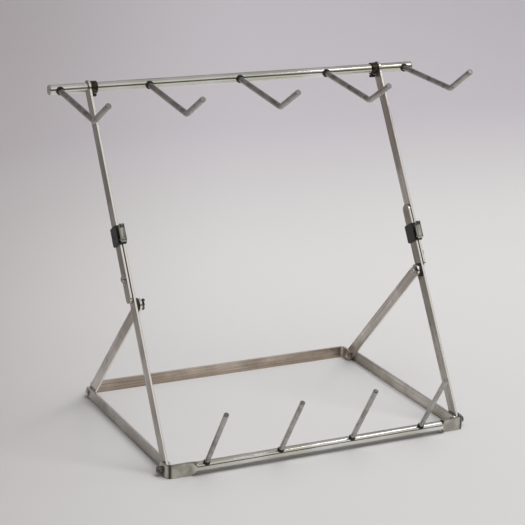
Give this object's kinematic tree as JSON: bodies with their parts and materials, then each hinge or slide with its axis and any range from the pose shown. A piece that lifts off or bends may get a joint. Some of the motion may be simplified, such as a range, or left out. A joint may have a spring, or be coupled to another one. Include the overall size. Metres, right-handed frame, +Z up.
{
  "type": "folding display and drying rack",
  "caption": "Free-standing folding metal rack: flat-bar A-frames on a base, with a raised tube of forward hooks and a low front tube of leaning pegs.",
  "frame": {"origin": "on the floor, under the middle of the whole rack's bounding box", "axes": "+X to the right along the front tube, +Y towards the rear rail, +Z up; the pegs and hooks face -Y"},
  "size_m": [0.4932, 0.3425, 0.4291],
  "materials": {
    "satin_steel": "satin nickel on flat bar, brushed along its length, bright worn edges",
    "polished_tube": "polished nickel or chrome tube",
    "rod_steel": "drawn and plated round rod, satin grey",
    "rivet_steel": "zinc plated fasteners",
    "dark_steel": "blackened steel screws and collars",
    "black_plastic": "black moulded nylon",
    "black_rubber": "black moulded rings and spacers",
    "chrome_lever": "bright plated sheet lever",
    "brass_pad": "plain brass brake pad inside the clamp"
  },
  "bodies": {
    "base": {"side_rail_left": "satin_steel", "side_rail_right": "satin_steel", "rear_rail": "satin_steel", "front_tube": "polished_tube", "peg_1": "rod_steel", "peg_2": "rod_steel", "peg_3": "rod_steel", "peg_4": "rod_steel", "peg_rings": "black_rubber", "front_pivot_rivet_left": "rivet_steel", "front_pivot_rivet_right": "rivet_steel", "rear_pivot_rivet_left": "rivet_steel", "rear_pivot_rivet_right": "rivet_steel"},
    "legs": {"leg_left": "satin_steel", "leg_right": "satin_steel", "apex_stud_left": "rivet_steel", "apex_stud_right": "rivet_steel", "apex_nut": "rivet_steel", "nut_washers": "rivet_steel", "apex_spacer_left": "black_rubber", "apex_spacer_right": "black_rubber", "clamp_body_left": "black_plastic", "clamp_body_right": "black_plastic", "clamp_pin_left": "rivet_steel", "clamp_pin_right": "rivet_steel", "clamp_pad_left": "brass_pad", "clamp_pad_right": "brass_pad"},
    "strut_left": {"rear_strut_left": "satin_steel"},
    "strut_right": {"rear_strut_right": "satin_steel"},
    "upper_frame": {"upper_bar_left": "satin_steel", "upper_bar_right": "satin_steel", "tube_collar_left": "dark_steel", "tube_collar_right": "dark_steel", "lock_washers": "rivet_steel", "lock_screw_left": "rivet_steel", "lock_screw_right": "rivet_steel"},
    "hook_bar": {"top_tube": "polished_tube", "hook_1": "rod_steel", "hook_2": "rod_steel", "hook_3": "rod_steel", "hook_4": "rod_steel", "hook_5": "rod_steel", "hook_rings": "black_rubber", "tube_plug_left": "rivet_steel", "tube_plug_right": "rivet_steel"},
    "clamp_lever_l": {"clamp_lever_left": "chrome_lever"},
    "clamp_lever_r": {"clamp_lever_right": "chrome_lever"},
    "wing_nut_spinner": {"wing_nut": "dark_steel"},
    "thumb_screw_l": {"thumb_screw_left": "dark_steel"},
    "thumb_screw_r": {"thumb_screw_right": "dark_steel"}
  },
  "joints": [
    {"name": "leg_fold", "type": "hinge", "parent": "base", "child": "legs", "pos_m": [0, -0.10207, 0.0075], "axis": [1, 0, 0], "range_deg": [-50, 0]},
    {"name": "strut_left_fold", "type": "hinge", "parent": "base", "child": "strut_left", "pos_m": [-0.1867, 0.15593, 0.0075], "axis": [1, 0, 0], "range_deg": [0, 46.69]},
    {"name": "strut_right_fold", "type": "hinge", "parent": "base", "child": "strut_right", "pos_m": [0.1867, 0.15593, 0.0075], "axis": [1, 0, 0], "range_deg": [0, 46.69]},
    {"name": "height_slide", "type": "slide", "parent": "legs", "child": "upper_frame", "axis": [0, 0.5135, 0.8581], "range_m": [-0.14, 0]},
    {"name": "hook_bar_turn", "type": "hinge", "parent": "upper_frame", "child": "hook_bar", "pos_m": [0, 0.13519, 0.40393], "axis": [1, 0, 0], "range_deg": [-30, 50]},
    {"name": "clamp_lever_left_open", "type": "hinge", "parent": "legs", "child": "clamp_lever_l", "pos_m": [-0.19536, 0.02463, 0.24529], "axis": [1, 0, 0], "range_deg": [0, 85]},
    {"name": "clamp_lever_right_open", "type": "hinge", "parent": "legs", "child": "clamp_lever_r", "pos_m": [0.19536, 0.00614, 0.2144], "axis": [1, 0, 0], "range_deg": [0, 85]},
    {"name": "wing_nut_turn", "type": "hinge", "parent": "legs", "child": "wing_nut_spinner", "pos_m": [-0.1821, -0.00296, 0.17311], "axis": [1, 0, 0], "continuous": true},
    {"name": "thumb_screw_left_turn", "type": "hinge", "parent": "upper_frame", "child": "thumb_screw_l", "pos_m": [-0.19086, 0.13519, 0.39443], "axis": [0, 0, 1], "continuous": true},
    {"name": "thumb_screw_right_turn", "type": "hinge", "parent": "upper_frame", "child": "thumb_screw_r", "pos_m": [0.19086, 0.13519, 0.39443], "axis": [0, 0, 1], "continuous": true}
  ],
  "couplings": [
    {"joint": "strut_left_fold", "follows": "leg_fold", "ratio": -0.92373},
    {"joint": "strut_right_fold", "follows": "leg_fold", "ratio": -0.92373}
  ]
}
